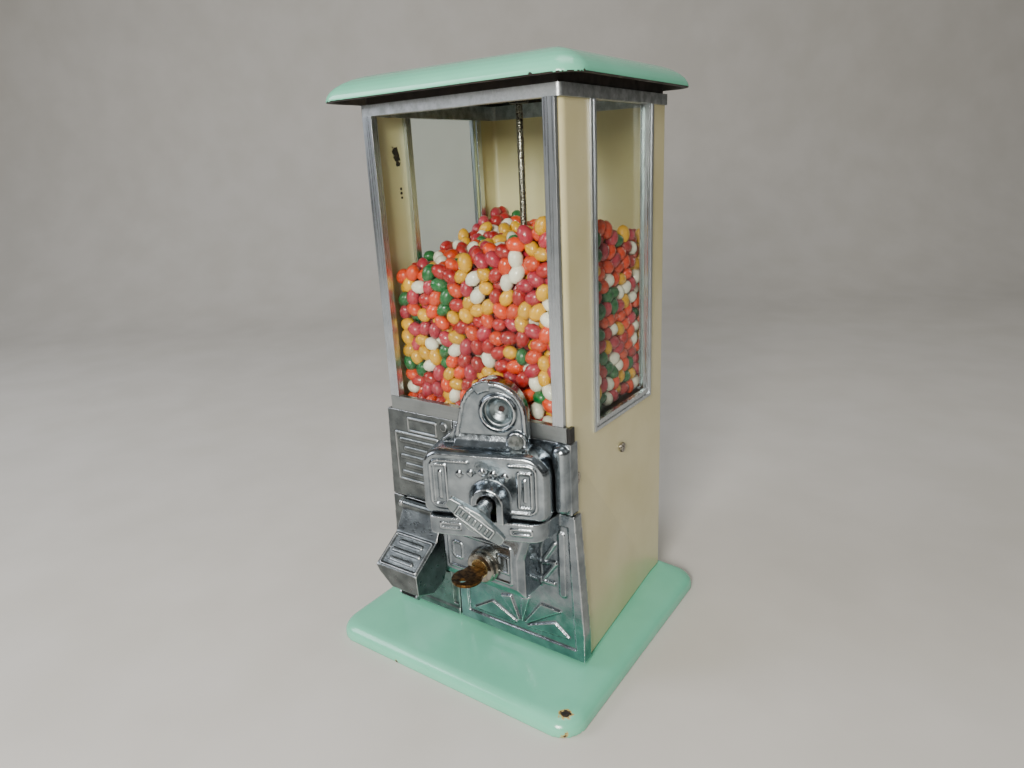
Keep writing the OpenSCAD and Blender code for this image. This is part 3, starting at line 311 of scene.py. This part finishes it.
def windowGlass():
    # thin drawn sheet glass: light goes straight through, and a faint reflection grows with the slant
    made, tree = newMaterial("drawnGlass")
    through = addNode(tree, "ShaderNodeBsdfTransparent", {"Color": linear("#fbfefc")}, "BSDF")
    mirror = addNode(tree, "ShaderNodeBsdfPrincipled", {
        "Base Color": linear("#eef4f2"), "Metallic": 1.0,
        "Roughness": mottle(tree, 60, 0.45, 0.75, 0.02, 0.08)}, "BSDF")
    slant = addNode(tree, "ShaderNodeLayerWeight", {"Blend": 0.5}, "Facing")
    slant = addNode(tree, "ShaderNodeMath", {0: slant, 1: 4.0}, "Value", operation="POWER")
    share = addNode(tree, "ShaderNodeMath", {0: slant, 1: 0.4, 2: 0.012}, "Value", operation="MULTIPLY_ADD")
    pane = addNode(tree, "ShaderNodeMixShader", {0: share, 1: through, 2: mirror}, "Shader")
    addNode(tree, "ShaderNodeOutputMaterial", {"Surface": pane})
    return made


def tableTop():
    # matt painted board: pale, faint clouds
    made, tree = newMaterial("paintedBoard")
    finish(tree, {"Base Color": coats(tree, "#cfccc6", (mottle(tree, 90, 0.35, 0.65), "#c9c6bf")),
                  "Roughness": 0.6, "IOR": 1.45})
    return made


# where the enamel is chipped: x, y, z and radius in mm
baseChips = [(94.5, -116.5, 12, 3.4), (99.5, -127, 1.5, 2.8), (-42, -128, 1, 1.2), (104, 20, 3, 1.2)]
lidChips = [(67, -88, 387.4, 1.3), (93.5, -76, 387.4, 1.1), (-14, -88, 390.6, 0.7),
            (-12, -88, 391.2, 0.6), (20, -88, 386.8, 0.9), (40, -88, 386.8, 0.8)]
bodyChips = [(-72.5, -48, 355, 3.4), (-72.5, -46.8, 351, 3.2), (-72.5, -46, 347, 2.2),
             (-72.5, -45.3, 330, 1.2), (-72.5, -45.2, 327, 1.3), (-72.5, -45.2, 324, 1.0)]
surfaces = {
    "mint_enamel": stoveEnamel("greenStoveEnamel", "#79ceae", "#71c6a6", lidChips, baseChips, 0.2),
    "cream_enamel": stoveEnamel("creamStoveEnamel", "#d5cda2", "#cbc292", bodyChips, [], 0.28),
    "black_enamel": darkPaint("blackJapan", "#0b0b0b", "#171513", 0.3),
    # the third colour of each casting is its dirt and painted shade in corners and grooves
    "cast_aluminium": castMetal("buffedCastAluminium", "#9ba4aa", "#747d84", "#1b1f22", 0.18, 0.2),
    "dull_casting": castMetal("greyCastAluminium", "#7c8282", "#565b5c", "#151617", 0.3, 0.5),
    "trim_aluminium": rolledMetal("rolledAluminium", "#d2d8dc", "#adb4b9", 0.27, "z"),
    "zinc": castMetal("dieCastZinc", "#8d989b", "#717c7f", "#23282b", 0.32, 0.3),
    "nickel": spottedMetal("nickelPlate", "#9f9c92", "#65625a", 5, 0.42, 0.62, 0.16),
    "bright_steel": rolledMetal("groundSteel", "#b9bdc1", "#8a8e92", 0.22, "y"),
    "dark_steel": darkPaint("oiledSteel", "#2c2926", "#171513", 0.35),
    "rusty_steel": spottedMetal("rustedSteel", "#b9b3a8", "#2a211b", 2.0, 0.5, 0.6, 0.24, 0.4, 0.08),
    "galvanised": spottedMetal("zincedSheet", "#a9adae", "#888c8d", 9, 0.35, 0.65, 0.34),
    "brass": spottedMetal("machinedBrass", "#cdb985", "#9d8450", 5, 0.45, 0.7, 0.24),
    "bronze_key": spottedMetal("handledBronze", "#6e4f2a", "#332414", 3, 0.4, 0.6, 0.33),
    "glass": windowGlass(),
    "candy": darkPaint("sweetMass", "#8c2a1c", "#5d1a12", 0.4),  # on the solid that the sweets replace
}
ownSurface = {
    # nodes whose finish differs from that of their slot
    "top_collar": spottedMetal("zincedStrip", "#cdd2d4", "#a0a6a8", 7, 0.35, 0.62, 0.36),
    "hopper_floor": surfaces["galvanised"],
    "front_sill": rolledMetal("rolledSill", "#9ea3a3", "#777b7b", 0.34, "x"),
    "cover_screw": spottedMetal("turnedSteel", "#7c8180", "#4b4f4f", 3, 0.4, 0.6, 0.28),
    # dark red-brown primer, darkened further as painted shade for the hole behind the coin cup
    "coin_channel": darkPaint("primerAndHoleShade", "#3a1712", "#1c0c09", 0.5),
}
# painted shade: dark brown for the lid's underside and inner ring
lidPaintedShade = darkPaint("brownPaintedShade", "#2a221b", "#1a1511", 0.45)
slotOf = {part["node"]: part["material_slot"] for part in frame["record"]["subparts"]}
bodyOf = {n: b for b, members in frame["record"]["behaviour"]["bodies"].items() for n in members}
floor.data.materials.append(tableTop())
for name, node in frame["nodes"].items():
    node.data.materials.clear()
    node.data.materials.append(ownSurface.get(name, surfaces[slotOf[name]]))
print("finishes made for", len(frame["nodes"]), "nodes")


# Castings and pressings: the CAD node's own form, its edges rounded as the mould or die leaves them

ledgeLip = {
    "corners": [(-38, -106.5, 5), (26.5, -102.5, 9), (39.5, -88, 4)],  # x, y, radius in mm, before the turn
    "start": (-43, -68), "turn": 18.3,                                 # mm and degrees
    "angles": range(182, 340, 6),                                      # which way the lip faces, in degrees
    "top": 125.05, "sheet": 1.2,                                       # mm
    "outer": 0.7, "inner": 6.5,                                        # mm in from the ledge's edge
}
softForms = {
    # voxel in mm, smoothing passes, share of faces kept
    "mech_cover": {"voxel": 0.6, "passes": 3, "keep": 0.45},
    "mech_frame": {"voxel": 0.6, "passes": 2, "keep": 0.45},
    "coin_door": {"voxel": 0.6, "passes": 2, "keep": 0.4, "lip": ledgeLip},
    "left_plate": {"voxel": 0.5, "passes": 2, "keep": 0.45},
    "chute_plate": {"voxel": 0.6, "passes": 2, "keep": 0.45},
    "chute_flap": {"voxel": 0.5, "passes": 2, "keep": 0.5},
    "lever": {"voxel": 0.35, "passes": 2, "keep": 0.6},
    "key": {"voxel": 0.3, "passes": 2, "keep": 0.7},
    "lid": {"voxel": 0.9, "passes": 2, "keep": 0.45},
    "base_pan": {"voxel": 1.1, "passes": 4, "keep": 0.45},
    "coin_cup": {"voxel": 0.4, "passes": 3, "keep": 0.6},
}
lidShading = {
    "brim": 9,      # mm in from the edge, inside which faces low on the lid get painted shade
    "down": -0.25,  # a face whose normal's z is lower than this gets painted shade
}


def addLip(shape, lip):
    # closes the top of the door's ledge as far as the foot of the cover
    turn = Matrix.Rotation(math.radians(lip["turn"]), 3, "Z")
    outer, inner, sheet = (lip[k] for k in ("outer", "inner", "sheet"))
    section = [(outer, 0), (inner, 0), (inner, sheet), (outer, sheet)]
    edges = [(Vector((*lip["start"], 0)), Vector((-1, 0, 0)))]
    for angle in lip["angles"]:
        out = Vector((math.cos(math.radians(angle)), math.sin(math.radians(angle)), 0))
        x, y, radius = max(lip["corners"], key=lambda c: c[0] * out.x + c[1] * out.y + c[2])
        edges.append((Vector((x, y, 0)) + out * radius, out))
    rings = [[shape.verts.new(turn @ (edge - out * inset + Vector((0, 0, lip["top"] - drop))) * mm)
              for inset, drop in section] for edge, out in edges]
    for first, second in zip(rings, rings[1:]):
        for k in range(4):
            shape.faces.new((first[k], second[k], second[(k + 1) % 4], first[(k + 1) % 4]))
    shape.faces.new(rings[0])
    shape.faces.new(rings[-1][::-1])


def softForm(node, form):
    mesh = frame["nodes"][node].data.copy()
    shape = bmesh.new()
    shape.from_mesh(mesh)
    bmesh.ops.remove_doubles(shape, verts=shape.verts, dist=0.002 * mm)
    if "lip" in form:
        addLip(shape, form["lip"])
    shape.to_mesh(mesh)
    shape.free()
    piece = newObject(node + "_form", mesh)
    remesh = piece.modifiers.new("rounding", "REMESH")
    remesh.mode = "VOXEL"
    remesh.voxel_size = form["voxel"] * mm
    smooth = piece.modifiers.new("smoothing", "SMOOTH")
    smooth.factor = 0.5
    smooth.iterations = form["passes"]
    thin = piece.modifiers.new("thinning", "DECIMATE")
    thin.ratio = form["keep"]
    done = bpy.data.meshes.new_from_object(piece.evaluated_get(bpy.context.evaluated_depsgraph_get()))
    piece.modifiers.clear()
    piece.data = done
    done.shade_smooth()
    done.materials.clear()
    done.materials.append(surfaces[slotOf[node]])
    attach(piece, bodyOf[node])
    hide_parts(node)
    print(node, len(done.polygons), "faces")
    return piece


def shadeLidUnderside(piece):
    # painted shade: faces turned down, and low faces inside the brim, get a dark brown in place of the enamel
    low, high = (Vector(c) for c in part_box("lid"))
    brim = lidShading["brim"] * mm
    middle = (low + high) / 2
    reach = (high - low) / 2 - Vector((brim, brim, 0))
    piece.data.materials.append(lidPaintedShade)
    for face in piece.data.polygons:
        insideBrim = abs(face.center.x - middle.x) < reach.x and abs(face.center.y - middle.y) < reach.y
        if face.normal.z < lidShading["down"] or (insideBrim and face.center.z < low.z + brim):
            face.material_index = 1


pieces = {node: softForm(node, form) for node, form in softForms.items()}
shadeLidUnderside(pieces["lid"])
print("castings rounded:", len(pieces))


# Sweets

sweetHeap = {
    "length": 12.8, "width": 9.7, "thickness": 9.0,  # mm, one sweet
    "sizeSpread": 0.07,      # larger or smaller, as a share of the size
    "egg": 0.1,              # how much blunter one end is
    "segments": 10, "rings": 7,
    "spacing": 9.8,          # mm between middles that the pushing aims at
    "packing": 0.00128,      # sweets to a cubic mm
    "jitter": 0.45,          # how far a sweet starts from the even lattice, in its cells
    "unevenTop": (-4, 1.5),  # mm that a sweet may lie off the heap's smooth top
    "overfill": 3,           # mm above the top that is filled before the heap settles
    "rounds": 60,            # of pushing apart
    "searchEvery": 6,        # rounds between searches for neighbours
    "levelEvery": 3,         # rounds between pressings under the heap's top
    "watch": 1.5,            # spacings within which neighbours are looked for
    "push": 0.4,             # share of what two lack to the spacing that each moves in a round
    "shell": 23,             # mm of heap that is made behind the glass and below the top
    "rodGap": 2,             # mm left round the rod
    "flatAt": 9,             # mm from a window within which sweets lie flat to it
    "lean": 0.35,            # how much those still lean
    "seed": 11, "tintSeed": 5,
    "tints": [("#a30d12", 0.16), ("#a92138", 0.17), ("#d53a00", 0.23), ("#d59a00", 0.19), ("#0b5f2b", 0.12),
              ("#e9e3d0", 0.13)],  # colour and its share of the sweets
}


def heapPlaces():
    # middles of the sweets, scattered in the heap's solid and pushed apart; sweets are longer than
    # the spacing, so neighbours still run into each other, by about a millimetre as a rule
    dice = np.random.default_rng(sweetHeap["seed"])
    mesh = frame["nodes"]["candy_fill"].data
    heap = BVHTree.FromPolygons([v.co for v in mesh.vertices], [f.vertices for f in mesh.polygons])
    low, high = (np.array(c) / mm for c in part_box("candy_fill"))
    rod = (np.array(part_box("lid_rod")[0]) + np.array(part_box("lid_rod")[1])) / 2 / mm
    inset = sweetHeap["thickness"] / 2
    spacing = sweetHeap["spacing"]
    cell = (1 / sweetHeap["packing"]) ** (1 / 3)
    lattice = [np.arange(low[k] + inset, high[k] - inset + cell / 2, cell) for k in range(3)]
    places = np.array(np.meshgrid(*lattice)).reshape(3, -1).T
    places = places + dice.uniform(-sweetHeap["jitter"], sweetHeap["jitter"], places.shape) * cell

    def top(place):
        hit = heap.ray_cast(Vector((place[0] * mm, place[1] * mm, 1)), Vector((0, 0, -1)))[0]
        return high[2] if hit is None else hit.z / mm

    bumps = dice.uniform(*sweetHeap["unevenTop"], len(places))
    inHeap = np.array([p[2] < top(np.clip(p, low + inset, high - inset)) - inset + b + sweetHeap["overfill"]
                       for p, b in zip(places, bumps)])
    places, bumps = places[inHeap], bumps[inHeap]
    for step in range(sweetHeap["rounds"]):
        if step % sweetHeap["searchEvery"] == 0:
            square = (places ** 2).sum(1)
            apart = square[:, None] + square[None] - 2 * places @ places.T
            first, second = np.nonzero(np.triu(apart < (sweetHeap["watch"] * spacing) ** 2, 1))
        line = places[first] - places[second]
        reach = np.maximum(np.linalg.norm(line, axis=1), 0.01)
        push = line / reach[:, None] * np.maximum(spacing - reach, 0)[:, None] * sweetHeap["push"]
        np.add.at(places, first, push)
        np.add.at(places, second, -push)
        places = np.clip(places, low + inset, high - inset)
        if (step + 1) % sweetHeap["levelEvery"] == 0:
            tops = np.array([top(p) for p in places])
            places[:, 2] = np.minimum(places[:, 2], tops - inset + bumps)
    tops = np.array([top(p) for p in places])
    depth = np.min([places[:, 0] - low[0], high[0] - places[:, 0], places[:, 1] - low[1],
                    tops - places[:, 2]], axis=0)
    clear = np.hypot(places[:, 0] - rod[0], places[:, 1] - rod[1]) > inset + sweetHeap["rodGap"]
    return places[(depth < sweetHeap["shell"]) & clear], low, high, dice


def heapTurns(places, low, high, dice):
    # each sweet's turn: any way inside the heap, and flat against a window
    turns, moved = [], places.copy()
    half = np.array([sweetHeap[k] for k in ("length", "width", "thickness")]) / 2
    half = half * (1 + sweetHeap["sizeSpread"])
    for i, place in enumerate(places):
        short = dice.normal(size=3)
        short /= np.linalg.norm(short)
        for axis, gap in ((0, place[0] - low[0]), (0, high[0] - place[0]), (1, place[1] - low[1])):
            if gap < sweetHeap["flatAt"]:
                short = short * sweetHeap["lean"]
                short[axis] += 1.0
        short /= np.linalg.norm(short)
        long = np.cross(short, dice.normal(size=3))
        long /= np.linalg.norm(long)
        axes = np.array([long, np.cross(short, long), short]).T
        turns.append(Matrix(axes.tolist()).to_euler())
        reach = np.sqrt(((axes * half) ** 2).sum(1)) * (1 + sweetHeap["egg"] / 2)
        moved[i, :2] = np.clip(place[:2], (low + reach)[:2], (high - reach)[:2])
    return moved, turns


def sweetTree(coating):
    # one oval sweet, set on every point of the heap with its own turn and size
    tree = bpy.data.node_groups.new("sweetHeap", "GeometryNodeTree")
    tree.interface.new_socket("Geometry", in_out="INPUT", socket_type="NodeSocketGeometry")
    for name in ("Length", "Width", "Thickness", "Size spread", "Egg"):
        tree.interface.new_socket(name, in_out="INPUT", socket_type="NodeSocketFloat")
    tree.interface.new_socket("Seed", in_out="INPUT", socket_type="NodeSocketInt")
    tree.interface.new_socket("Geometry", in_out="OUTPUT", socket_type="NodeSocketGeometry")
    given = addNode(tree, "NodeGroupInput").outputs
    ball = addNode(tree, "GeometryNodeMeshUVSphere", {
        "Segments": sweetHeap["segments"], "Rings": sweetHeap["rings"], "Radius": 0.5}, "Mesh")
    spot = addNode(tree, "GeometryNodeInputPosition", give="Position")
    spot = addNode(tree, "ShaderNodeSeparateXYZ", {"Vector": spot})
    swell = addNode(tree, "ShaderNodeMath", {0: spot.outputs["X"], 1: given["Egg"], 2: 1.0}, 0,
                    operation="MULTIPLY_ADD")
    sides = [addNode(tree, "ShaderNodeMath", {0: spot.outputs[k], 1: swell}, 0, operation="MULTIPLY")
             for k in "YZ"]
    egg = addNode(tree, "ShaderNodeCombineXYZ", {"X": spot.outputs["X"], "Y": sides[0], "Z": sides[1]}, 0)
    ball = addNode(tree, "GeometryNodeSetPosition", {"Geometry": ball, "Position": egg}, "Geometry")
    size = addNode(tree, "ShaderNodeCombineXYZ", {
        "X": given["Length"], "Y": given["Width"], "Z": given["Thickness"]}, 0)
    least = addNode(tree, "ShaderNodeMath", {0: 1.0, 1: given["Size spread"]}, 0, operation="SUBTRACT")
    most = addNode(tree, "ShaderNodeMath", {0: 1.0, 1: given["Size spread"]}, 0, operation="ADD")
    chance = addNode(tree, "FunctionNodeRandomValue", {2: least, 3: most, "Seed": given["Seed"]}, 1)
    size = addNode(tree, "ShaderNodeVectorMath", {0: size, "Scale": chance}, 0, operation="SCALE")
    turn = addNode(tree, "GeometryNodeInputNamedAttribute", {"Name": "turn"}, "Attribute",
                   data_type="FLOAT_VECTOR")
    turn = addNode(tree, "FunctionNodeEulerToRotation", {0: turn}, 0)
    heap = addNode(tree, "GeometryNodeInstanceOnPoints", {
        "Points": given["Geometry"], "Instance": ball, "Rotation": turn, "Scale": size}, "Instances")
    lot = addNode(tree, "FunctionNodeRandomValue", {2: 0.0, 3: 1.0, "Seed": sweetHeap["tintSeed"]}, 1)
    heap = addNode(tree, "GeometryNodeStoreNamedAttribute", {"Geometry": heap, "Name": "lot", "Value": lot},
                   "Geometry", data_type="FLOAT", domain="INSTANCE")
    heap = addNode(tree, "GeometryNodeRealizeInstances", {"Geometry": heap}, "Geometry")
    heap = addNode(tree, "GeometryNodeSetShadeSmooth", {"Geometry": heap}, "Geometry")
    heap = addNode(tree, "GeometryNodeSetMaterial", {"Geometry": heap, "Material": coating}, "Geometry")
    addNode(tree, "NodeGroupOutput", {"Geometry": heap})
    return tree


def pannedSugar():
    # sugar shell built up in a turning pan: hard gloss, faint mottling, a few specks; one colour to a sweet
    made, tree = newMaterial("pannedSugar")
    lot = addNode(tree, "ShaderNodeAttribute", give="Fac", attribute_name="lot")
    ramp = addNode(tree, "ShaderNodeValToRGB", {"Fac": lot})
    ramp.color_ramp.interpolation = "CONSTANT"
    stops = ramp.color_ramp.elements
    start = 0.0
    for i, (colour, share) in enumerate(sweetHeap["tints"]):
        stop = stops[i] if i < len(stops) else stops.new(start)
        stop.position = start
        stop.color = linear(colour)
        start += share
    chance = addNode(tree, "ShaderNodeTexWhiteNoise", {"W": lot}, "Value", noise_dimensions="1D")
    value = addNode(tree, "ShaderNodeMapRange", {"Value": chance, "To Min": 0.8, "To Max": 1.15}, "Result")
    coat = addNode(tree, "ShaderNodeHueSaturation", {"Value": value, "Color": ramp.outputs["Color"]}, "Color")
    coat = coats(tree, coat,
                 (mottle(tree, 3.5, 0.35, 0.7, 0, 0.05), "#f2e6d6"),
                 (mottle(tree, 0.9, 0.74, 0.78, 0, 0.45), "#3a1a12"))
    gloss = mottle(tree, 2.5, 0.3, 0.7, 0.3, 0.42)
    finish(tree, {"Base Color": coat, "Roughness": gloss, "IOR": 1.45, "Coat Weight": 0.4,
                  "Coat Roughness": 0.06, "Normal": skin(tree, mottle(tree, 2.2, 0.3, 0.7), 0.06, 0.3)})
    return made


def makeSweets():
    places, low, high, dice = heapPlaces()
    places, turns = heapTurns(places, low, high, dice)
    points = bpy.data.meshes.new("sweets")
    points.from_pydata([Vector(p) * mm for p in places], [], [])
    turnOf = points.attributes.new("turn", "FLOAT_VECTOR", "POINT")
    turnOf.data.foreach_set("vector", [angle for turn in turns for angle in turn])
    heap = newObject("sweets", points)
    tree = sweetTree(pannedSugar())
    step = heap.modifiers.new("heap", "NODES")
    step.node_group = tree
    values = {"Length": sweetHeap["length"] * mm, "Width": sweetHeap["width"] * mm,
              "Thickness": sweetHeap["thickness"] * mm, "Size spread": sweetHeap["sizeSpread"],
              "Egg": sweetHeap["egg"], "Seed": sweetHeap["seed"]}
    for socket in tree.interface.items_tree:
        if socket.name in values:
            step[socket.identifier] = values[socket.name]
    done = bpy.data.meshes.new_from_object(heap.evaluated_get(bpy.context.evaluated_depsgraph_get()))
    heap.modifiers.clear()
    heap.data = done
    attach(heap, bodyOf["candy_fill"])
    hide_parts("candy_fill")
    print("sweets:", len(places), "with", len(done.polygons), "faces")


makeSweets()
